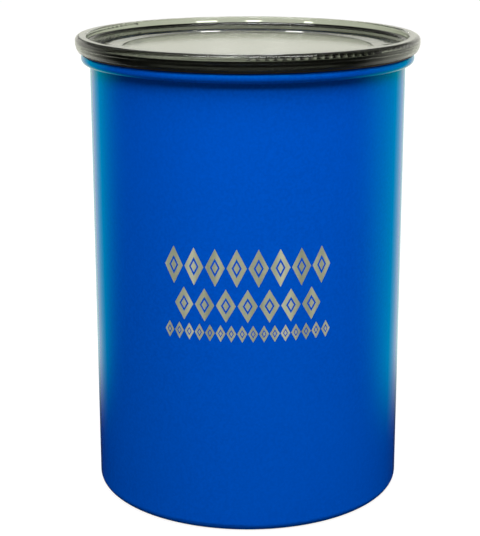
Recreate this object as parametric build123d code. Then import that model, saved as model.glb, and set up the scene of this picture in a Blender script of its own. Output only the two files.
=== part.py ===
from build123d import *
import os
from math import acos, asin, atan2, cos, degrees, hypot, pi, sin, sqrt

# Coffee canister: a steel cup with a rolled bead at its mouth, a clear outer lid that rests
# on the bead, and an inner lid that is pushed down on to the coffee. The inner lid wipes the
# wall with a soft ring and carries a valve in its hub. Lifting the inner lid's handle turns
# two cams, which raise the valve off its seat and let the air out from over the coffee.
# Millimetres, +Z up, origin at the centre of the base. The front is at -Y.

# Canister body, one spun sheet
body_radius = 60.0        # outside of the straight wall
mouth_height = 172.0      # base to the top of the bead
sheet = 0.7               # steel thickness
base_corner = 3.0         # outside rounding between the wall and the base
foot_width = 10.0         # ring that the canister stands on
panel_rise = 2.5          # base panel above the foot ring
panel_bend = 0.7          # tight side of the panel's two bends
bead_radius = 2.0         # outside of the bead's round section
bead_turn = 300.0         # degrees that the sheet curls round

# Outer lid, one clear moulding with a soft seal in its rim
seat_gap = 0.3            # seal above the bead
lid_wall = 1.8            # thickness of the dish
dish_rise = 1.7           # flat of the dish above the mouth
shelf_width = 13.0        # sloping shelf between the flat and the rim
shelf_rise = 1.6          # climb of that shelf
dish_round = 10.0         # soft bend where the shelf leaves the flat
crest_rise = 4.6          # crest of the rim above the flat
crest_round = 1.7         # outer rounding of the crest
crest_inner_round = 0.9   # rounding of the crest on its dish side
shelf_round = 1.2         # hollow bend at the foot of the rim
rim_wall = 1.0            # dish side of the grooved rim
rim_groove = 1.1          # width of the seal's groove in the rim
rim_roof = 2.3            # thickness over the groove
skirt_wall = 2.3          # outer side of the rim
skirt_lift = 0.6          # lower edge of the skirt over the bead's top
skirt_foot = 1.3          # width of the skirt's lower edge
skirt_flare = 1.4         # height over which the skirt turns in to its edge
skirt_round = 1.2         # rounding of that turn
ridge_drop = 3.1          # fine step round the skirt, under the crest
ridge_step = 0.25         # depth of that step
edge_round = 0.4          # small moulded edges of the lid
plug_depth = 2.6          # locating ring inside the mouth, under the bead's top
plug_wall = 1.6
plug_gap = 0.3            # locating ring to the steel
seal_inset = 0.2          # seal inside the bead's widest place
seal_foot = 1.0           # thickness of the seal over the bead
seal_lip_drop = 0.3       # seal's outer lip under the bead's top

# Inner lid, two plates that clamp the wiper ring
flange_gap = 2.3          # plates to the steel
wiper_gap = 0.25          # wiper's lips to the steel
wiper_root = 3.0          # width of the wiper's clamped root
lip_edge_share = 0.11     # thickness of a lip at the wall, of the wiper's height
lip_root_share = 0.25     # and at its root
plate_wall = 2.0          # top plate
floor_wall = 2.5          # bottom plate
ring_wall = 2.0           # ring under the top plate
ring_rise = 4.5           # bottom plate's ring above its floor
spigot_wall = 1.4         # locating lip inside the rings
spigot_rise = 2.0
recess_depth = 2.0        # top plate's centre below its edge
recess_slope = 1.5        # width of the slope between them
plate_round = 1.0         # outer edges of both plates
hub_rise = 7.0            # hub above the top plate
hub_wall = 3.0            # round the valve chamber
hub_round = 1.2           # edges of the hub
ceiling_wall = 2.0        # over the valve chamber
hub_margin = 0.4          # hub beyond the pivot ears
rib_wall = 1.4            # ribs under the top plate
rib_gap = 0.5             # ribs above the bottom plate's spigot
rib_count = 6
fit_gap = 0.05            # between pieces that are clamped or that slide on each other

# Screws that hold the two plates together
screw_count = 6
screw_radius = 1.45       # shank
screw_head_radius = 2.8   # countersunk head
screw_head_rim = 0.2      # straight edge of the head
screw_length = 9.5
screw_point = 1.2         # tapered end
screw_socket_radius = 1.2
screw_socket_depth = 0.9
boss_wall = 2.1           # plastic round the screw

# Valve: a stem with a soft disc, pressed on its seat by a spring
stem_radius = 3.0
seat_rise = 1.5           # seat ring above the bottom plate's floor
seat_width = 1.5
disc_thickness = 2.5
disc_overlap = 1.5        # soft disc beyond the seat ring
disc_gap = 2.7            # soft disc to the chamber wall
flange_inset = 1.5        # stem's flange inside the soft disc's edge
flange_thickness = 1.5
tail_radius = 2.0         # stem below its flange and inside the button
washer_inset = 3.0        # washer's edge to the valve opening
washer_thickness = 0.8
clip_thickness = 0.7
clip_width = 1.9          # clip beyond the stem's tail
groove_depth = 0.5        # clip's groove in the tail
clip_mouth = 2.6          # gap in the clip
tail_tip = 0.7            # tail below the clip
tip_chamfer = 0.4
grille_width = 1.4        # bars that keep beans out of the valve
grille_height = 1.2
grille_bars = 3
vent_count = 8            # air holes in the chamber's ceiling
vent_radius = 1.6
button_thickness = 4.0    # pad on top of the stem that the cams lift
button_round = 1.5
button_bore_depth = 2.8
spring_length = 11.0      # between the flange and the ceiling, valve shut
spring_radius = 6.0       # middle of the wire
spring_wire = 0.9
spring_turns = 4.5
spring_rest = 0.02        # wire's ends to the faces that they press

# Handle with its two lifting cams
cam_base = 4.0            # pivot to the cam's flat, handle folded
cam_rate = 1.9            # millimetres of lift for each radian of swing
cam_nose = 2.0            # rounding beyond the cam's highest point
cam_width = 3.0
cam_gap = 2.0             # cams to the stem
flank_steps = 8           # points worked out along the cam's rising flank
boss_width = 4.5          # round the pivot pin, outside each cam
boss_relief = 0.3         # boss below the cam's flat
pivot_lift = 5.5          # pivot above the hub
arm_width = 3.5
arm_height = 5.0
arm_round = 1.2
arm_straight = 10.0       # arms run straight past the ears
arm_end = 10.0            # and straight again beside the grip
arm_bend = 9.0            # radius of the two bends in each arm
grip_rim_gap = 5.0        # folded grip to the slope round the plate
grip_spread = 22.0        # middle of the handle to the middle of each arm's end
eye_radius = 4.5          # rounded end of each arm
bar_radius = 3.2          # bar inside the grip
grip_radius = 6.0         # soft sleeve at its middle
grip_end_radius = 5.2
grip_grooves = 5
groove_width = 1.6
grip_groove_depth = 0.5
grip_round = 0.8
grip_side_gap = 0.3       # sleeve to the arms
grip_rest_gap = 0.3       # folded grip above the plate
head_room = 1.9           # raised handle below the outer lid
pin_radius = 1.5
pin_head_radius = 2.6
pin_head_thickness = 1.2
pin_head_round = 0.5
pin_inset = 0.5           # pin's inner end inside the cam's face
ear_gap = 0.5             # ears to the handle
ear_width = 4.0
ear_radius = 4.5
button_gap = 0.5          # button's edge to the arms

# Cutting tools run past the faces that they cut by this much
overrun = 1.0

# Places that follow from the sizes
body_inner = body_radius - sheet
bead_height = mouth_height - bead_radius
bead_centre = body_inner + bead_radius
panel_radius = body_radius - foot_width

skirt_bottom = mouth_height + skirt_lift
seat_level = mouth_height + seat_gap
seal_outer = bead_centre + bead_radius - seal_inset
groove_outer = seal_outer + fit_gap
groove_inner = groove_outer - rim_groove
lid_radius = groove_outer + skirt_wall
rim_inner = groove_inner - rim_wall
dish_radius = rim_inner - shelf_width
dish_height = mouth_height + dish_rise
shelf_height = dish_height + shelf_rise
crest_height = dish_height + crest_rise
groove_roof = crest_height - rim_roof
plug_outer = body_inner - plug_gap
plug_inner = plug_outer - plug_wall
lid_underside = dish_height - lid_wall

cam_inner = stem_radius + cam_gap
cam_outer = cam_inner + cam_width
handle_side = cam_outer + boss_width
arm_middle = handle_side - arm_width / 2
ear_inner = handle_side + ear_gap
ear_outer = ear_inner + ear_width
hub_radius = hypot(ear_outer, ear_radius) + hub_margin
chamber_radius = hub_radius - hub_wall
cam_lift = cam_rate * pi / 2

disc_radius = chamber_radius - disc_gap
seat_outer = disc_radius - disc_overlap
opening_radius = seat_outer - seat_width
stem_flange_radius = disc_radius - flange_inset
washer_radius = opening_radius - washer_inset
button_radius = handle_side - arm_width - button_gap

plate_radius = body_inner - flange_gap
wiper_radius = body_inner - wiper_gap
clamp_radius = plate_radius - wiper_root
ring_inner = clamp_radius - ring_wall
recess_edge = ring_inner - recess_slope
recess_radius = recess_edge - recess_slope
handle_length = recess_radius - grip_rim_gap - grip_radius

pivot_to_plate = pivot_lift + hub_rise
plate_top = lid_underside - head_room - grip_radius - handle_length - pivot_to_plate
hub_top = plate_top + hub_rise
pivot_height = hub_top + pivot_lift
ceiling_height = hub_top - ceiling_wall
stem_flange_top = ceiling_height - spring_length
disc_top = stem_flange_top - flange_thickness
seat_height = disc_top - disc_thickness
floor_top = seat_height - seat_rise
plate_bottom = floor_top - floor_wall
button_bottom = pivot_height + cam_base + fit_gap

flange_bottom = plate_top - plate_wall
parting_height = floor_top + ring_rise
screw_circle = (hub_radius + ring_inner) / 2

# The folded handle droops until its grip lies just over the plate.
grip_drop = pivot_to_plate - grip_rest_gap - grip_radius
handle_droop = asin(grip_drop / handle_length)
handle_plane = Plane(
    origin=(0, 0, pivot_height),
    x_dir=(1, 0, 0),
    z_dir=(0, sin(handle_droop), -cos(handle_droop)),
)


def profile(corners):
    """Closed face from (radius, height, rounding) corners, on the radius and height plane."""
    points = [(radius, height) for radius, height, rounding in corners]
    roundings = [rounding for radius, height, rounding in corners]
    return make_face(Plane.XZ * FilletPolyline(*points, radius=roundings, close=True))


def turned(corners):
    """Solid of revolution about Z from (radius, height, rounding) corners."""
    return revolve(profile(corners), Axis.Z)


def across(radius, start, end):
    """Cylinder along X between two places on that axis, at the origin."""
    middle = (start + end) / 2
    return Pos(middle, 0, 0) * Rot(0, 90, 0) * Cylinder(radius, abs(end - start))


def make_canister_body():
    """Straight cup with a raised base panel, its edge curled outward into a hollow bead."""
    outside = profile([
        (0, panel_rise, 0),
        (panel_radius, panel_rise, panel_bend),
        (panel_radius, 0, panel_bend + sheet),
        (body_radius, 0, base_corner),
        (body_radius, bead_height, 0),
        (0, bead_height, 0),
    ])
    inside = profile([
        (0, panel_rise + sheet, 0),
        (panel_radius + sheet, panel_rise + sheet, panel_bend + sheet),
        (panel_radius + sheet, sheet, panel_bend),
        (body_inner, sheet, base_corner - sheet),
        (body_inner, bead_height, 0),
        (0, bead_height, 0),
    ])
    centre = (bead_centre, bead_height)
    outer_arc = CenterArc(centre, bead_radius, 180, -bead_turn)
    inner_arc = CenterArc(centre, bead_radius - sheet, 180, -bead_turn)
    joint_line = Line(outer_arc @ 0, inner_arc @ 0)
    end_line = Line(outer_arc @ 1, inner_arc @ 1)
    curl = make_face(Plane.XZ * Curve([outer_arc, inner_arc, joint_line, end_line]))
    return revolve(outside - inside, Axis.Z) + revolve(curl, Axis.Z)


def shelf_at(radius):
    """Height of the lid's sloping shelf, on top, at a radius."""
    return dish_height + shelf_rise * (radius - dish_radius) / shelf_width


def make_outer_lid():
    """Dished lid with a high rim, a groove in it for the seal, a skirt and a locating ring."""
    lower_skirt = lid_radius - ridge_step
    ridge_height = crest_height - ridge_drop
    lid_seat = seat_level + seal_foot + fit_gap
    return turned([
        (0, dish_height, 0),
        (dish_radius, dish_height, dish_round),
        (rim_inner, shelf_height, shelf_round),
        (rim_inner, crest_height, crest_inner_round),
        (lid_radius, crest_height, crest_round),
        (lid_radius, ridge_height, 0),
        (lower_skirt, ridge_height - ridge_step, 0),
        (lower_skirt, skirt_bottom + skirt_flare, skirt_round),
        (groove_outer + skirt_foot, skirt_bottom, edge_round),
        (groove_outer, skirt_bottom, 0),
        (groove_outer, groove_roof, 0),
        (groove_inner, groove_roof, 0),
        (groove_inner, lid_seat, 0),
        (plug_outer, lid_seat, 0),
        (plug_outer, mouth_height - plug_depth, edge_round),
        (plug_inner, mouth_height - plug_depth, edge_round),
        (plug_inner, shelf_at(plug_inner) - lid_wall, edge_round),
        (dish_radius, lid_underside, dish_round),
        (0, lid_underside, 0),
    ])


def make_lid_seal():
    """Soft seal: a wall in the lid's groove, a foot over the bead and a lip at its shoulder."""
    wall_inner = groove_inner + fit_gap
    foot_inner = plug_outer + fit_gap
    return turned([
        (foot_inner, seat_level, 0),
        (wall_inner, seat_level, 0),
        (seal_outer, mouth_height - seal_lip_drop, 0),
        (seal_outer, groove_roof - fit_gap, 0),
        (wall_inner, groove_roof - fit_gap, 0),
        (wall_inner, seat_level + seal_foot, 0),
        (foot_inner, seat_level + seal_foot, 0),
    ])


def make_pivot_ear():
    """Rounded post on the hub that holds one end of the handle's pivot, on the +X side."""
    foot = ceiling_height + ceiling_wall / 2
    shape = Rectangle(2 * ear_radius, pivot_height - foot, align=(Align.CENTER, Align.MAX))
    shape += Circle(ear_radius)
    ear = extrude(Plane.YZ.offset(ear_inner) * shape, ear_width)
    return Pos(0, 0, pivot_height) * ear


def make_top_plate():
    """Recessed plate with the hub, its valve chamber, vents, pivot ears, bosses and ribs."""
    rim_top = plate_top + recess_depth
    plate = turned([
        (stem_radius + fit_gap, hub_top, 0),
        (hub_radius, hub_top, hub_round),
        (hub_radius, plate_top, hub_round),
        (recess_radius, plate_top, hub_round),
        (recess_edge, rim_top, plate_round),
        (plate_radius, rim_top, plate_round),
        (plate_radius, flange_bottom, 0),
        (clamp_radius, flange_bottom, 0),
        (clamp_radius, parting_height, 0),
        (ring_inner, parting_height, 0),
        (ring_inner, flange_bottom, 0),
        (hub_radius, flange_bottom, 0),
        (hub_radius, floor_top, 0),
        (chamber_radius, floor_top, 0),
        (chamber_radius, ceiling_height, hub_round),
        (stem_radius + fit_gap, ceiling_height, 0),
    ])
    boss_height = flange_bottom - floor_top + plate_wall / 2
    boss = Cylinder(
        screw_radius + boss_wall, boss_height, align=(Align.CENTER, Align.CENTER, Align.MIN)
    )
    plate += PolarLocations(screw_circle, screw_count) * (Pos(0, 0, floor_top) * boss)
    rib_length = ring_inner - hub_radius + ring_wall
    rib_top = (flange_bottom + plate_top) / 2
    rib_height = rib_top - parting_height - spigot_rise - rib_gap
    rib = Box(rib_length, rib_wall, rib_height, align=(Align.CENTER, Align.CENTER, Align.MAX))
    rib = Pos(0, 0, rib_top) * rib
    plate += PolarLocations(screw_circle, rib_count, start_angle=180 / rib_count) * rib
    ear = make_pivot_ear()
    plate += ear + mirror(ear, Plane.YZ)
    pivot_bore = across(pin_radius + fit_gap / 2, -ear_outer - overrun, ear_outer + overrun)
    plate -= Pos(0, 0, pivot_height) * pivot_bore
    vent_circle = (spring_radius + spring_wire / 2 + chamber_radius) / 2
    vent = Cylinder(vent_radius, ceiling_wall + 2 * overrun)
    vent = Pos(0, 0, ceiling_height + ceiling_wall / 2) * vent
    plate -= PolarLocations(vent_circle, vent_count, start_angle=180 / vent_count) * vent
    return plate - screw_places() * make_screw(fit_gap / 2)


def screw_places():
    """Where the screws stand, heads down in the bottom plate."""
    return [
        Pos(0, 0, plate_bottom) * place for place in PolarLocations(screw_circle, screw_count)
    ]


def make_screw(grown=0):
    """Countersunk screw standing on its head, or the hole for one when grown."""
    shank = screw_radius + grown
    head = screw_head_radius + grown
    screw = turned([
        (0, -grown, 0),
        (head, -grown, 0),
        (head, screw_head_rim, 0),
        (shank, screw_head_rim + head - shank, 0),
        (shank, screw_length - screw_point, 0),
        (shank - screw_point / 2, screw_length + grown, 0),
        (0, screw_length + grown, 0),
    ])
    if grown:
        return screw
    socket = extrude(RegularPolygon(screw_socket_radius, 6), screw_socket_depth)
    return screw - socket


def make_bottom_plate():
    """Round floor with the valve's seat ring, a bean grille and the ring that meets the top."""
    spigot_outer = ring_inner - fit_gap
    spigot_inner = spigot_outer - spigot_wall
    plate = turned([
        (opening_radius, plate_bottom, 0),
        (plate_radius, plate_bottom, plate_round),
        (plate_radius, floor_top, 0),
        (clamp_radius, floor_top, 0),
        (clamp_radius, parting_height, 0),
        (spigot_outer, parting_height, 0),
        (spigot_outer, parting_height + spigot_rise, 0),
        (spigot_inner, parting_height + spigot_rise, 0),
        (spigot_inner, floor_top, 0),
        (seat_outer, floor_top, 0),
        (seat_outer, seat_height, 0),
        (opening_radius, seat_height, 0),
    ])
    bar = Box(2 * opening_radius + seat_width, grille_width, grille_height)
    bar = Pos(0, 0, plate_bottom + grille_height / 2) * bar
    for number in range(grille_bars):
        plate += Rot(0, 0, 180 * number / grille_bars) * bar
    return plate - [place * make_screw(fit_gap) for place in screw_places()]


def make_wiper_ring():
    """Soft ring: a root clamped between the plates and two lips that wipe the wall."""
    inner = clamp_radius + fit_gap
    low = floor_top + fit_gap
    high = flange_bottom - fit_gap
    middle = (low + high) / 2
    neck = plate_radius - plate_round / 2
    lip_edge = (high - low) * lip_edge_share
    lip_root = (high - low) * lip_root_share
    half = []
    for way in (-1, 1):
        tip = (high - middle) * way
        half.append([
            (inner, middle + tip, 0),
            (neck, middle + tip, 0),
            (neck, middle + tip - lip_edge * way, 0),
            (wiper_radius, middle + tip + lip_edge * way / 2, 0),
            (wiper_radius, middle + tip - lip_edge * way / 2, 0),
            (neck, middle + tip - lip_root * way, 0),
        ])
    return turned(half[0] + half[1][::-1])


def make_valve_stem():
    """Turned stem: tail with a clip groove, wide flange, shaft and a spigot for the button."""
    clip_top = seat_height - washer_thickness
    clip_bottom = clip_top - clip_thickness
    groove = tail_radius - groove_depth
    return turned([
        (0, clip_bottom - tail_tip, 0),
        (tail_radius - tip_chamfer, clip_bottom - tail_tip, 0),
        (tail_radius, clip_bottom - tail_tip + tip_chamfer, 0),
        (tail_radius, clip_bottom, 0),
        (groove, clip_bottom, 0),
        (groove, clip_top, 0),
        (tail_radius, clip_top, 0),
        (tail_radius, disc_top, 0),
        (stem_flange_radius, disc_top, 0),
        (stem_flange_radius, stem_flange_top, tip_chamfer),
        (stem_radius, stem_flange_top, tip_chamfer),
        (stem_radius, button_bottom, 0),
        (tail_radius, button_bottom, 0),
        (tail_radius, button_bottom + button_bore_depth - fit_gap, 0),
        (0, button_bottom + button_bore_depth - fit_gap, 0),
    ])


def make_valve_disc():
    """Soft disc that closes on the seat ring."""
    return turned([
        (tail_radius + fit_gap, seat_height, 0),
        (disc_radius, seat_height, tip_chamfer),
        (disc_radius, disc_top, tip_chamfer),
        (tail_radius + fit_gap, disc_top, 0),
    ])


def make_valve_washer():
    """Flat washer that backs the soft disc from below."""
    return turned([
        (tail_radius + fit_gap, seat_height - washer_thickness, 0),
        (washer_radius, seat_height - washer_thickness, 0),
        (washer_radius, seat_height, 0),
        (tail_radius + fit_gap, seat_height, 0),
    ])


def make_stem_clip():
    """Open retaining ring in the stem's groove."""
    clip_top = seat_height - washer_thickness
    middle = clip_top - clip_thickness / 2
    ring = Cylinder(tail_radius + clip_width, clip_thickness - fit_gap)
    ring -= Cylinder(tail_radius - groove_depth + fit_gap, clip_thickness)
    mouth = Box(tail_radius + clip_width, clip_mouth, clip_thickness)
    ring -= Pos((tail_radius + clip_width) / 2, 0, 0) * mouth
    return Pos(0, 0, middle) * ring


def make_valve_button():
    """Round pad pressed on the stem's top, with the flat face that the cams lift."""
    bore = tail_radius + fit_gap
    return turned([
        (0, button_bottom + button_bore_depth, 0),
        (bore, button_bottom + button_bore_depth, 0),
        (bore, button_bottom, 0),
        (button_radius, button_bottom, tip_chamfer),
        (button_radius, button_bottom + button_thickness, button_round),
        (0, button_bottom + button_thickness, 0),
    ])


def helix_point(turn, low, rise):
    """Point on the spring's middle line, after a share of its whole rise."""
    angle = 2 * pi * spring_turns * turn
    return Vector(spring_radius * cos(angle), spring_radius * sin(angle), low + rise * turn)


def helix_heading(turn, rise):
    """Unit direction of the spring's middle line there."""
    angle = 2 * pi * spring_turns * turn
    climb = rise / (2 * pi * spring_turns)
    heading = Vector(-spring_radius * sin(angle), spring_radius * cos(angle), climb)
    return heading.normalized()


def biarc(start, start_heading, end, end_heading):
    """Two arcs that join smoothly, from one point and heading to another."""
    chord = end - start
    both = start_heading + end_heading
    bend = 2 * (1 - start_heading.dot(end_heading))
    along = chord.dot(both)
    reach = (sqrt(along**2 + bend * chord.dot(chord)) - along) / bend
    meeting = (start + end + (start_heading - end_heading) * reach) * 0.5
    first = TangentArc(start, meeting, tangent=start_heading)
    return [first, TangentArc(meeting, end, tangent=first % 1)]


def make_valve_spring():
    """Open coil spring between the stem's flange and the chamber's ceiling."""
    low = stem_flange_top + spring_wire / 2 + spring_rest
    rise = ceiling_height - spring_wire / 2 - spring_rest - low
    quarters = round(4 * spring_turns)
    arcs = []
    for number in range(quarters):
        start = number / quarters
        end = (number + 1) / quarters
        arcs += biarc(
            helix_point(start, low, rise),
            helix_heading(start, rise),
            helix_point(end, low, rise),
            helix_heading(end, rise),
        )
    path = Wire([arc.edge() for arc in arcs])
    section = Plane(origin=path @ 0, z_dir=path % 0) * Circle(spring_wire / 2)
    samples = 36
    points = [
        helix_point(number / (samples * spring_turns), low, rise)
        for number in range(round(samples * spring_turns) + 1)
    ]
    nearest = min(
        (points[here] - points[there]).length
        for here in range(len(points))
        for there in range(here + samples // 2, len(points))
    )
    print(f"valve spring: least gap between its turns {nearest - spring_wire:.2f} mm")
    return sweep(section, path)


def cam_outline():
    """Lifting cam seen along the pivot: a flat, a flank that lifts evenly, a nose, a round."""
    quarter = pi / 2

    def flank(angle):
        reach = cam_base + cam_rate * (angle - quarter)
        return (
            reach * cos(angle) - cam_rate * sin(angle),
            reach * sin(angle) + cam_rate * cos(angle),
        )

    flank_points = [flank(quarter + quarter * step / flank_steps) for step in range(flank_steps + 1)]
    flat = Line((0, cam_base), flank_points[0])
    rise = Spline(*flank_points, tangents=[(-1, 0), (0, -1)])
    nose_centre = (flank_points[-1][0] + cam_nose, flank_points[-1][1])
    between = hypot(*nose_centre)
    facing = atan2(-nose_centre[1], -nose_centre[0])
    under = facing - acos((cam_nose - cam_base) / between)
    nose = CenterArc(nose_centre, cam_nose, 180, 180 + degrees(under))
    heel = CenterArc((0, 0), cam_base, degrees(under), 90 - degrees(under))
    belly = Line(nose @ 1, heel @ 0)
    return make_face(Curve([flat, rise, nose, belly, heel]))


def make_handle():
    """Bail with two arms that spread to a bar, and a cam and boss at each arm's pivot."""
    path = handle_plane * FilletPolyline(
        (arm_middle, 0),
        (arm_middle, arm_straight),
        (grip_spread, handle_length - arm_end),
        (grip_spread, handle_length),
        radius=arm_bend,
    )
    section = Plane(origin=path @ 0, x_dir=(1, 0, 0), z_dir=path % 0)
    arm = sweep(section * RectangleRounded(arm_width, arm_height, arm_round), path)
    eye = across(eye_radius, grip_spread - arm_width / 2, grip_spread + arm_width / 2)
    grip_centre = grip_place()
    cam = extrude(Plane.YZ.offset(cam_inner) * cam_outline(), cam_width)
    boss = across(cam_base - boss_relief, cam_outer, handle_side)
    side = arm + grip_centre * eye + Pos(0, 0, pivot_height) * (cam + boss)
    bar = grip_centre * across(bar_radius, -grip_spread, grip_spread)
    bore = across(pin_radius + fit_gap, -ear_inner, ear_inner)
    return side + mirror(side, Plane.YZ) + bar - Pos(0, 0, pivot_height) * bore


def grip_place():
    """Middle of the grip with the handle folded."""
    return Pos(*handle_plane.from_local_coords(Vector(0, handle_length, 0)))


def make_handle_grip():
    """Soft grooved sleeve moulded round the handle's bar."""
    half = grip_spread - arm_width / 2 - grip_side_gap
    bore = bar_radius + fit_gap
    sleeve = turned([
        (bore, -half, 0),
        (grip_end_radius, -half, grip_round),
        (grip_radius, 0, half),
        (grip_end_radius, half, grip_round),
        (bore, half, 0),
    ])
    spacing = 2 * half / (grip_grooves + 1)
    for number in range(grip_grooves):
        place = spacing * (number + 1) - half
        groove = Cylinder(grip_radius + overrun, groove_width)
        groove -= Cylinder(grip_radius - 2 * grip_groove_depth, groove_width)
        sleeve -= Pos(0, 0, place) * groove
    return grip_place() * Rot(0, 90, 0) * sleeve


def make_pivot_pins():
    """Two headed pins, pressed into the ears, that the handle turns on."""
    inner = cam_inner + pin_inset
    length = ear_outer - inner
    pin = turned([
        (0, 0, 0),
        (pin_radius - tip_chamfer, 0, 0),
        (pin_radius, tip_chamfer, 0),
        (pin_radius, length, 0),
        (pin_head_radius, length, 0),
        (pin_head_radius, length + pin_head_thickness, pin_head_round),
        (0, length + pin_head_thickness, 0),
    ])
    right = Pos(inner, 0, pivot_height) * Rot(0, 90, 0) * pin
    return Compound([right, mirror(right, Plane.YZ)])


def make_plate_screws():
    """The identical screws that hold the two plates together."""
    screw = make_screw()
    return Compound([place * screw for place in screw_places()])


pieces = {
    "canister_body": make_canister_body(),
    "outer_lid": make_outer_lid(),
    "lid_seal": make_lid_seal(),
    "inner_lid_top_plate": make_top_plate(),
    "inner_lid_bottom_plate": make_bottom_plate(),
    "wiper_ring": make_wiper_ring(),
    "plate_screws": make_plate_screws(),
    "valve_stem": make_valve_stem(),
    "valve_disc": make_valve_disc(),
    "valve_washer": make_valve_washer(),
    "stem_clip": make_stem_clip(),
    "valve_button": make_valve_button(),
    "valve_spring": make_valve_spring(),
    "handle": make_handle(),
    "handle_grip": make_handle_grip(),
    "pivot_pins": make_pivot_pins(),
}

os.makedirs("parts", exist_ok=True)
for name, piece in pieces.items():
    export_step(piece, f"parts/{name}.step")
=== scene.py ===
import math

import bpy
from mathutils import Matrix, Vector


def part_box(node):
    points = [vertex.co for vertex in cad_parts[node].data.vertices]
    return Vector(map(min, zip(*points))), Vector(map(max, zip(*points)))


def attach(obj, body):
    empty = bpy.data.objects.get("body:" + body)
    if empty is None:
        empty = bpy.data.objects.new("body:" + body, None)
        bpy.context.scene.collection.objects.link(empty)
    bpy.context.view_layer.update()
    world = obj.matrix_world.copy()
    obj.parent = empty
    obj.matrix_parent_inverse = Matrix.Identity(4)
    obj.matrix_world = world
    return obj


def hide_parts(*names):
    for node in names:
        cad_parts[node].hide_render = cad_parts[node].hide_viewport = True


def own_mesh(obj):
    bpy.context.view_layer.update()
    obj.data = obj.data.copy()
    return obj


# The coffee canister's looks: blue powder coat over steel, a smoke-tinted clear lid, and the
# black inner lid with its valve. Metres, +Z up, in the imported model's own frame.

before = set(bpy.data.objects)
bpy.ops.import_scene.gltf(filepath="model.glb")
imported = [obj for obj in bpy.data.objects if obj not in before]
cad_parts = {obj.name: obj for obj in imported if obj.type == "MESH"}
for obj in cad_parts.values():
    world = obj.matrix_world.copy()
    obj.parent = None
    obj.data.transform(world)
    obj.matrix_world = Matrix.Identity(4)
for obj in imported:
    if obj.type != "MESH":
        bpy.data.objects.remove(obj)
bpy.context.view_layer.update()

mm = 0.001

# Camera, fitted to the photograph's outline: 480 by 536 pixels
picture_width = 480
picture_height = 536
focal_pixels = 1479.7
axis_pixel = 247.7
camera_back = 0.5661
camera_height = 0.2420
camera_pitch = math.radians(15.43)
sensor = 36.0

# Canister: where the coat ends and the bare steel starts
steel_radius = 59.6 * mm
floor_height = 2.8 * mm
mouth_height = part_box("canister_body")[1].z
curl_steel = mouth_height - 2.0 * mm
rubbed_foot = 0.25 * mm

# Outer lid: the flat of its dish has a satin face, and the rest is polished
disc_radius = 47.6 * mm
disc_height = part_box("outer_lid")[1].z - 4.9 * mm
disc_fade = 0.5 * mm

# Etched border on the front: each row's height, half height, lozenges and half width
border_rows = (
    (102.0 * mm, 7.0 * mm, 8, math.radians(30.0)),
    (88.0 * mm, 6.2 * mm, 7, math.radians(26.25)),
    (77.6 * mm, 3.2 * mm, 16, math.radians(30.0)),
)

# How far rubbing reaches from the edges of plastic and rubber
edge_wear = 0.5 * mm

# Painted shadow on the floor round the object: polished and clear surfaces see none of the
# floor's glow within the first distance and all of it beyond the second, so the coat mirrors no
# white there
painted_shadow_inner = 0.085
painted_shadow_outer = 0.21

# Windows behind the object: name, reach, height, depth and brightness, then each pane's side and
# width in degrees. The high one shows on the rear of the lid's crest, the middle one on the bend
# of its dish and the low one through the rear of its rim.
windows = (
    ("high", 1.0, 0.95, 0.45, 6.0, ((-5.7, 1.6), (-1.5, 4.3), (2.9, 2.6))),
    ("middle", 1.0, 0.46, 0.20, 4.0, ((-1.35, 0.7), (1.7, 0.6))),
    ("low", 1.0, 0.078, 0.008, 3.0, ((-2.8, 1.4), (0.4, 1.0), (4.2, 0.6))),
)

# Backdrop's colour to the camera and through the lid, and as polished surfaces mirror it
white = (1, 1, 1, 1)
warm_white = (1.0, 1.0, 0.90, 1)


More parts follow.
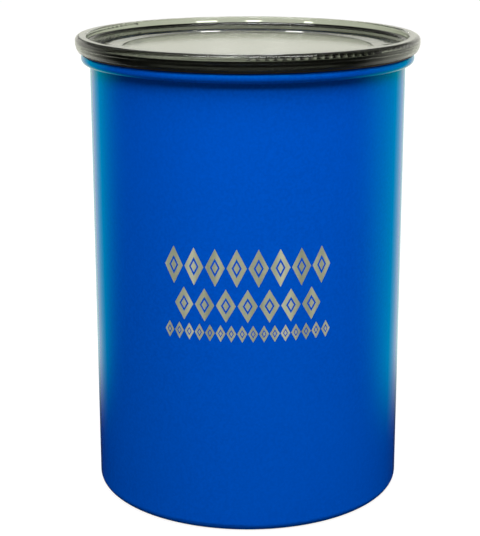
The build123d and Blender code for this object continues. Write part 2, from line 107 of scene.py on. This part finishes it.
class Nodes:
    """Builds one node tree, with short calls for the nodes that the finishes use."""

    def __init__(self, owner, output="ShaderNodeOutputMaterial"):
        owner.use_nodes = True
        self.owner = owner
        self.tree = owner.node_tree
        self.tree.nodes.clear()
        self.output = self.tree.nodes.new(output)

    def plug(self, socket, value):
        if isinstance(value, bpy.types.NodeSocket):
            self.tree.links.new(value, socket)
        else:
            socket.default_value = value

    def add(self, kind, values=None, **settings):
        node = self.tree.nodes.new(kind)
        for key, value in settings.items():
            setattr(node, key, value)
        for key, value in (values or {}).items():
            self.plug(node.inputs[key], value)
        return node

    def math(self, operation, first, second=0.0, clamp=False):
        node = self.add("ShaderNodeMath", {0: first, 1: second}, operation=operation)
        node.use_clamp = clamp
        return node.outputs[0]

    def mix(self, factor, first, second):
        values = {0: factor, 6: first, 7: second}
        return self.add("ShaderNodeMix", values, data_type="RGBA").outputs[2]

    def noise(self, scale, detail=3.0, roughness=0.5, vector=None):
        values = {"Scale": scale, "Detail": detail, "Roughness": roughness}
        if vector is not None:
            values["Vector"] = vector
        return self.add("ShaderNodeTexNoise", values).outputs["Fac"]

    def spread(self, value, low, high, to_low=0.0, to_high=1.0, smooth=False):
        node = self.add("ShaderNodeMapRange", {0: value, 1: low, 2: high, 3: to_low, 4: to_high})
        if smooth:
            node.interpolation_type = "SMOOTHSTEP"
        return node.outputs[0]

    def bump(self, height, strength, distance):
        values = {"Strength": strength, "Distance": distance, "Height": height}
        return self.add("ShaderNodeBump", values).outputs[0]

    def vector(self, x, y, z):
        return self.add("ShaderNodeCombineXYZ", {0: x, 1: y, 2: z}).outputs[0]

    def round_place(self):
        """The point, its distance from the axis, its angle from the front and its height."""
        point = self.add("ShaderNodeTexCoord").outputs["Object"]
        x, y, z = self.add("ShaderNodeSeparateXYZ", {0: point}).outputs
        squares = self.math("ADD", self.math("MULTIPLY", x, x), self.math("MULTIPLY", y, y))
        radius = self.math("SQRT", squares)
        angle = self.math("ARCTAN2", x, self.math("MULTIPLY", y, -1.0))
        return point, radius, angle, z

    def edges(self, width):
        """Near one where the surface turns within that width, and zero on its open faces."""
        rounded = self.add("ShaderNodeBevel", {"Radius": width}).outputs["Normal"]
        flat = self.add("ShaderNodeNewGeometry").outputs["Normal"]
        along = self.add("ShaderNodeVectorMath", {0: rounded, 1: flat}, operation="DOT_PRODUCT")
        return self.spread(along.outputs["Value"], 0.99, 0.80)

    def surface(self, socket, volume=None):
        self.tree.links.new(socket, self.output.inputs["Surface"])
        if volume is not None:
            self.tree.links.new(volume, self.output.inputs["Volume"])
        return self.owner


def new_material(name):
    return Nodes(bpy.data.materials.new(name))


def brushed_steel(n, radius, angle, height, dark, light, metallic):
    """Bare steel with fine turned streaks and slow bands of light and dark round the axis."""
    around = n.vector(n.math("MULTIPLY", angle, 1.2), n.math("MULTIPLY", height, 2600.0), radius)
    streaks = n.noise(5.0, 3.0, 0.6, vector=around)
    bands = n.noise(7.0, 2.0, 0.5, vector=n.vector(angle, 0.0, 0.0))
    shade = n.mix(n.spread(bands, 0.35, 0.65), (*dark, 1), (*light, 1))
    shade = n.mix(n.spread(streaks, 0.2, 0.8, 0.0, 0.35), shade, (0.72, 0.72, 0.70, 1))
    return n.add(
        "ShaderNodeBsdfPrincipled",
        {
            "Base Color": shade,
            "Metallic": metallic,
            "Roughness": n.spread(streaks, 0.2, 0.8, 0.26, 0.42),
            "Normal": n.bump(streaks, 0.12, 0.1 * mm),
        },
    ).outputs[0]


def etched_border(n, angle, height):
    """One where the coat is etched away in rows of lozenges on the front, zero elsewhere."""
    total = 0.0
    for middle, half_height, count, half_width in border_rows:
        turns = n.spread(angle, -half_width, half_width, 0.0, count)
        across = n.math("ABSOLUTE", n.math("SUBTRACT", n.math("FRACT", turns), 0.5))
        up = n.math("ABSOLUTE", n.math("SUBTRACT", height, middle))
        reach = n.math("ADD", n.math("DIVIDE", across, 0.46), n.math("DIVIDE", up, half_height))
        solid = n.math("LESS_THAN", reach, 1.0)
        within = n.math("LESS_THAN", reach, 0.50)
        heart = n.math("MULTIPLY", within, n.math("GREATER_THAN", reach, 0.30))
        inside = n.math("LESS_THAN", n.math("ABSOLUTE", angle), half_width)
        lozenge = n.math("MULTIPLY", n.math("SUBTRACT", solid, heart), inside)
        total = n.math("MAXIMUM", total, lozenge)
    return total


def powder_coat_and_steel():
    """Blue powder coat outside, bare brushed steel inside and in the etched border."""
    n = new_material("powder_coat")
    point, radius, angle, height = n.round_place()
    cloud = n.noise(14.0, 2.0, vector=point)
    grain = n.noise(900.0, 2.0, 0.6, vector=point)
    peel = n.noise(1500.0, 2.0, 0.5, vector=point)
    blue = n.mix(n.spread(cloud, 0.3, 0.7), (0.0, 0.076, 0.54, 1), (0.0, 0.084, 0.58, 1))
    blue = n.mix(n.spread(grain, 0.35, 0.65), blue, (0.0, 0.092, 0.62, 1))
    orange_peel = n.bump(peel, 0.15, 0.1 * mm)
    pigment = n.add(
        "ShaderNodeBsdfPrincipled",
        {
            "Base Color": blue,
            "Roughness": n.spread(grain, 0.3, 0.7, 0.40, 0.48),
            "Specular IOR Level": 0.0,
            "Normal": orange_peel,
        },
    ).outputs[0]
    gleam = n.add("ShaderNodeFresnel", {"IOR": 1.5}).outputs[0]
    gloss_colour = n.mix(n.spread(gleam, 0.19, 0.36), (0.0, 1.0, 1.0, 1), (0.75, 1.0, 1.0, 1))
    gloss_roughness = n.spread(grain, 0.3, 0.7, 0.20, 0.26)
    gloss = n.add(
        "ShaderNodeBsdfGlossy",
        {"Color": gloss_colour, "Roughness": gloss_roughness, "Normal": orange_peel},
    ).outputs[0]
    coat = n.add("ShaderNodeMixShader", {0: gleam, 1: pigment, 2: gloss}).outputs[0]
    within = n.math("LESS_THAN", radius, steel_radius)
    etched = brushed_steel(n, radius, angle, height, (0.26, 0.30, 0.16), (0.74, 0.76, 0.50), 0.3)
    inside = brushed_steel(n, radius, angle, height, (0.60, 0.60, 0.59), (0.78, 0.78, 0.77), 0.7)
    steel = n.add("ShaderNodeMixShader", {0: within, 1: etched, 2: inside}).outputs[0]
    above = n.math("GREATER_THAN", height, floor_height)
    below = n.math("LESS_THAN", height, curl_steel)
    bare = n.math("MULTIPLY", within, n.math("MULTIPLY", above, below))
    on_wall = n.math("GREATER_THAN", radius, steel_radius)
    bare = n.math("MAXIMUM", bare, n.math("MULTIPLY", etched_border(n, angle, height), on_wall))
    rub = n.noise(260.0, 3.0, 0.6, vector=point)
    at_foot = n.math("LESS_THAN", height, rubbed_foot)
    foot = n.math("MULTIPLY", at_foot, n.math("GREATER_THAN", rub, 0.52))
    bare = n.math("MAXIMUM", bare, foot)
    return n.surface(n.add("ShaderNodeMixShader", {0: bare, 1: coat, 2: steel}).outputs[0])


def smoke_plastic():
    """Clear plastic that a smoke tint darkens where light goes through more of it."""
    n = new_material("smoke_plastic")
    point, radius, _, height = n.round_place()
    ripple = n.noise(30.0, 1.0, vector=point)
    scuffs = n.noise(500.0, 4.0, 0.7, vector=point)
    on_top = n.math("GREATER_THAN", height, disc_height)
    satin = n.math("MULTIPLY", n.spread(radius, disc_radius, disc_radius - disc_fade), on_top)
    polish = n.spread(scuffs, 0.4, 0.75, 0.02, 0.07)
    clear = n.add(
        "ShaderNodeBsdfPrincipled",
        {
            "Base Color": (0.94, 0.95, 0.91, 1),
            "Roughness": n.math("ADD", polish, n.math("MULTIPLY", satin, 0.08)),
            "IOR": 1.49,
            "Transmission Weight": 1.0,
            "Normal": n.bump(ripple, 0.02, 0.5 * mm),
        },
    ).outputs[0]
    speck = n.noise(1800.0, 2.0, 0.6, vector=point)
    milk = n.mix(n.spread(speck, 0.35, 0.65), (0.72, 0.75, 0.58, 1), (0.84, 0.86, 0.70, 1))
    haze = n.add("ShaderNodeBsdfDiffuse", {"Color": milk}).outputs[0]
    haze_share = n.math("MULTIPLY", satin, 0.08)
    hazy = n.add("ShaderNodeMixShader", {0: haze_share, 1: clear, 2: haze}).outputs[0]
    tint = n.add("ShaderNodeVolumeAbsorption", {"Color": (0.57, 0.60, 0.53, 1), "Density": 380.0})
    return n.surface(hazy, tint.outputs[0])


def moulded(name, colour, roughness=0.45, grain_scale=1500.0, strength=0.15):
    """Moulded plastic or rubber with a fine grain, slow changes of tone and rubbed edges."""
    n = new_material(name)
    point = n.add("ShaderNodeTexCoord").outputs["Object"]
    grain = n.noise(grain_scale, 3.0, 0.6, vector=point)
    cloud = n.noise(40.0, 2.0, vector=point)
    lighter = tuple(min(1.0, channel * 1.35 + 0.004) for channel in colour)
    shade = n.mix(n.spread(cloud, 0.3, 0.7), (*colour, 1), (*lighter, 1))
    rubs = n.noise(420.0, 3.0, 0.65, vector=point)
    worn = n.math("MULTIPLY", n.edges(edge_wear), n.spread(rubs, 0.40, 0.60, 0.15, 0.8))
    rubbed = tuple(min(1.0, channel * 1.9 + 0.02) for channel in colour)
    shade = n.mix(worn, shade, (*rubbed, 1))
    matt = n.spread(grain, 0.3, 0.7, roughness - 0.06, roughness + 0.06)
    plastic = n.add(
        "ShaderNodeBsdfPrincipled",
        {
            "Base Color": shade,
            "Roughness": n.math("SUBTRACT", matt, n.math("MULTIPLY", worn, 0.12)),
            "Normal": n.bump(grain, strength, 0.1 * mm),
        },
    )
    return n.surface(plastic.outputs[0])


def bright_steel(name):
    """Small steel parts with fine tool marks, a little dulling and brighter edges."""
    n = new_material(name)
    point = n.add("ShaderNodeTexCoord").outputs["Object"]
    marks = n.noise(1200.0, 3.0, 0.6, vector=point)
    dulling = n.noise(180.0, 2.0, vector=point)
    shade = n.mix(marks, (0.50, 0.50, 0.51, 1), (0.66, 0.66, 0.67, 1))
    shade = n.mix(n.spread(dulling, 0.4, 0.7, 0.0, 0.4), shade, (0.40, 0.39, 0.37, 1))
    shade = n.mix(n.math("MULTIPLY", n.edges(0.15 * mm), 0.6), shade, (0.80, 0.80, 0.80, 1))
    metal = n.add(
        "ShaderNodeBsdfPrincipled",
        {
            "Base Color": shade,
            "Metallic": 1.0,
            "Roughness": n.spread(marks, 0.3, 0.7, 0.18, 0.30),
            "Normal": n.bump(marks, 0.05, 0.05 * mm),
        },
    )
    return n.surface(metal.outputs[0])


def add_spring(material):
    """A copy of the CAD spring, with its own mesh, carried with the inner lid."""
    spring = bpy.data.objects.new("spring_coil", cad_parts["valve_spring"].data.copy())
    bpy.context.collection.objects.link(spring)
    spring.data.materials.clear()
    spring.data.materials.append(material)
    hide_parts("valve_spring")
    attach(spring, "inner_lid")
    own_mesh(spring)


def dress():
    """Gives each CAD piece its material."""
    black = moulded("plate_plastic", (0.022, 0.022, 0.024))
    silicone = moulded("silicone", (0.19, 0.195, 0.2), 0.6, 900.0, 0.08)
    # The seal's near-black rubber also stands in for the shade inside the lid's rim: partly its
    # own colour, partly painted shade
    seal_with_painted_shade = moulded("seal_rubber", (0.006, 0.007, 0.006), 0.6, 900.0, 0.08)
    steel = bright_steel("bright_steel")
    finishes = {
        "canister_body": powder_coat_and_steel(),
        "outer_lid": smoke_plastic(),
        "lid_seal": seal_with_painted_shade,
        "inner_lid_top_plate": black,
        "inner_lid_bottom_plate": black,
        "wiper_ring": silicone,
        "valve_disc": silicone,
        "plate_screws": steel,
        "valve_washer": steel,
        "stem_clip": steel,
        "valve_spring": steel,
        "pivot_pins": steel,
        "valve_stem": moulded("stem_plastic", (0.55, 0.55, 0.53), 0.35),
        "valve_button": moulded("button_plastic", (0.03, 0.03, 0.032), 0.22, 1500.0, 0.05),
        "handle": moulded("handle_plastic", (0.02, 0.02, 0.022), 0.4),
        "handle_grip": moulded("grip_rubber", (0.035, 0.035, 0.037), 0.7, 800.0, 0.25),
    }
    for node, material in finishes.items():
        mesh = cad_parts[node].data
        mesh.materials.clear()
        mesh.materials.append(material)
    add_spring(steel)


def kinds_of_ray(n):
    """One for a camera ray, and one for a ray off a glossy surface or through the clear lid."""
    path = n.add("ShaderNodeLightPath").outputs
    by_surface = n.math("ADD", path["Is Glossy Ray"], path["Is Transmission Ray"], clamp=True)
    return path["Is Camera Ray"], path["Is Glossy Ray"], by_surface


def studio_white(n, way):
    """White low behind the object and on its right, pale overhead and in a band in front."""
    way = n.add("ShaderNodeVectorMath", {0: way}, operation="NORMALIZE").outputs[0]
    x, y, z = n.add("ShaderNodeSeparateXYZ", {0: way}).outputs
    around = n.math("ARCTAN2", x, n.math("MULTIPLY", y, -1.0))
    other_way = n.math("MULTIPLY", around, -1.0)
    right = n.spread(around, math.radians(75), math.radians(112), smooth=True)
    left = n.spread(other_way, math.radians(92), math.radians(132), smooth=True)
    low = n.spread(z, 0.24, 0.42, 1.0, 0.25, smooth=True)
    overhead = n.spread(z, 0.7, 0.95, 0.0, 0.6, smooth=True)
    beside = n.math("MULTIPLY", n.math("MAXIMUM", right, left), low)
    turn = n.math("ABSOLUTE", around)
    ahead = n.spread(turn, math.radians(75), math.radians(50), smooth=True)
    above_floor = n.spread(z, 0.03, 0.14, smooth=True)
    under_lamps = n.spread(z, 0.52, 0.40, smooth=True)
    band = n.math("MULTIPLY", ahead, n.math("MULTIPLY", above_floor, under_lamps))
    pale = n.math("MAXIMUM", n.math("MAXIMUM", beside, overhead), band)
    return n.spread(pale, 0.0, 1.0, 0.02, 1.0)


def make_world():
    """White to the camera, graded to polished and clear surfaces, and dim to all else."""
    world = bpy.data.worlds.new("studio")
    bpy.context.scene.world = world
    n = Nodes(world, "ShaderNodeOutputWorld")
    way = n.add("ShaderNodeTexCoord").outputs["Generated"]
    by_camera, by_gloss, by_surface = kinds_of_ray(n)
    grade = n.math("MAXIMUM", studio_white(n, way), by_camera)
    seen = n.math("ADD", by_camera, by_surface, clamp=True)
    colour = n.mix(by_gloss, white, warm_white)
    shown = n.add("ShaderNodeBackground", {"Color": colour, "Strength": grade}).outputs[0]
    plain = n.add("ShaderNodeBackground", {"Color": white, "Strength": 0.08}).outputs[0]
    n.surface(n.add("ShaderNodeMixShader", {0: seen, 1: plain, 2: shown}).outputs[0])


def make_floor():
    """Pale paper that is white to the camera and keeps the object's shadow. To polished and clear
    surfaces it glows, with a painted shadow round the object.
    """
    bpy.ops.mesh.primitive_plane_add(size=6.0, location=(0, 0, 0))
    floor = bpy.context.object
    floor.name = "floor"
    n = new_material("floor_paper")
    place = n.add("ShaderNodeTexCoord").outputs["Object"]
    by_camera, by_gloss, by_surface = kinds_of_ray(n)
    away = n.add("ShaderNodeVectorMath", {0: place}, operation="LENGTH").outputs["Value"]
    glow_power = n.math("MULTIPLY", by_camera, n.spread(away, 0.3, 1.2, 0.88, 1.0))
    glow = n.add("ShaderNodeEmission", {"Color": white, "Strength": glow_power}).outputs[0]
    paper = n.add("ShaderNodeBsdfDiffuse", {"Color": (0.15, 0.15, 0.15, 1)}).outputs[0]
    plain = n.add("ShaderNodeAddShader", {0: glow, 1: paper}).outputs[0]
    # Painted shadow: the glow that polished and clear surfaces see fades out close to the object
    outside_painted_shadow = n.spread(away, painted_shadow_inner, painted_shadow_outer, smooth=True)
    strength = n.math("MULTIPLY", studio_white(n, place), outside_painted_shadow)
    colour = n.mix(by_gloss, white, warm_white)
    shown = n.add("ShaderNodeEmission", {"Color": colour, "Strength": strength}).outputs[0]
    floor.data.materials.append(
        n.surface(n.add("ShaderNodeMixShader", {0: by_surface, 1: plain, 2: shown}).outputs[0])
    )


def make_lamp(name, location, target, width, depth, power, mirrored=True, through=True):
    """A soft box. Polished surfaces show it if mirrored, and the clear lid does if through."""
    light = bpy.data.lights.new(name, "AREA")
    light.shape = "RECTANGLE"
    light.size = width
    light.size_y = depth
    light.energy = power
    lamp = bpy.data.objects.new(name, light)
    bpy.context.collection.objects.link(lamp)
    lamp.location = location
    lamp.rotation_euler = (Vector(target) - Vector(location)).to_track_quat("-Z", "Y").to_euler()
    lamp.visible_camera = False
    lamp.visible_glossy = mirrored
    lamp.visible_transmission = through


def make_lamps():
    """Soft boxes in front, above and beside, and the panes of the windows behind."""
    middle = (0.0, 0.0, 0.10)
    make_lamp("front_box", (0.0, -0.60, 0.76), middle, 0.8, 0.20, 5.4, False, False)
    make_lamp("top_box", (0.02, -0.40, 1.15), middle, 1.2, 0.4, 14.0, True, False)
    make_lamp("right_box", (0.85, 0.12, 0.72), middle, 0.4, 0.8, 3.1, False, False)
    make_lamp("left_box", (-0.7, 0.45, 0.45), middle, 0.4, 0.8, 3.0, False, False)
    make_lamp("back_box", (0.0, 1.2, 0.75), middle, 2.0, 0.3, 6.0, False, False)
    for name, reach, height, depth, brightness, panes in windows:
        for side, width in panes:
            turn = math.radians(side)
            spot = (reach * math.sin(turn), reach * math.cos(turn), height)
            pane_width = reach * math.radians(width)
            power = brightness * math.pi * pane_width * depth
            make_lamp(name + "_pane", spot, middle, pane_width, depth, power)


def make_camera():
    """The camera that was fitted to the photograph."""
    data = bpy.data.cameras.new("camera")
    camera = bpy.data.objects.new("camera", data)
    bpy.context.collection.objects.link(camera)
    data.sensor_fit = "AUTO"
    data.sensor_width = sensor
    data.lens = sensor * focal_pixels / picture_height
    data.shift_x = -(axis_pixel - picture_width / 2) / picture_height
    camera.location = (0, -camera_back, camera_height)
    camera.rotation_euler = (math.radians(90) - camera_pitch, 0, 0)
    data.clip_start = 0.01
    bpy.context.scene.camera = camera


dress()
make_world()
make_floor()
make_lamps()
make_camera()
bpy.context.scene.view_settings.view_transform = "Standard"
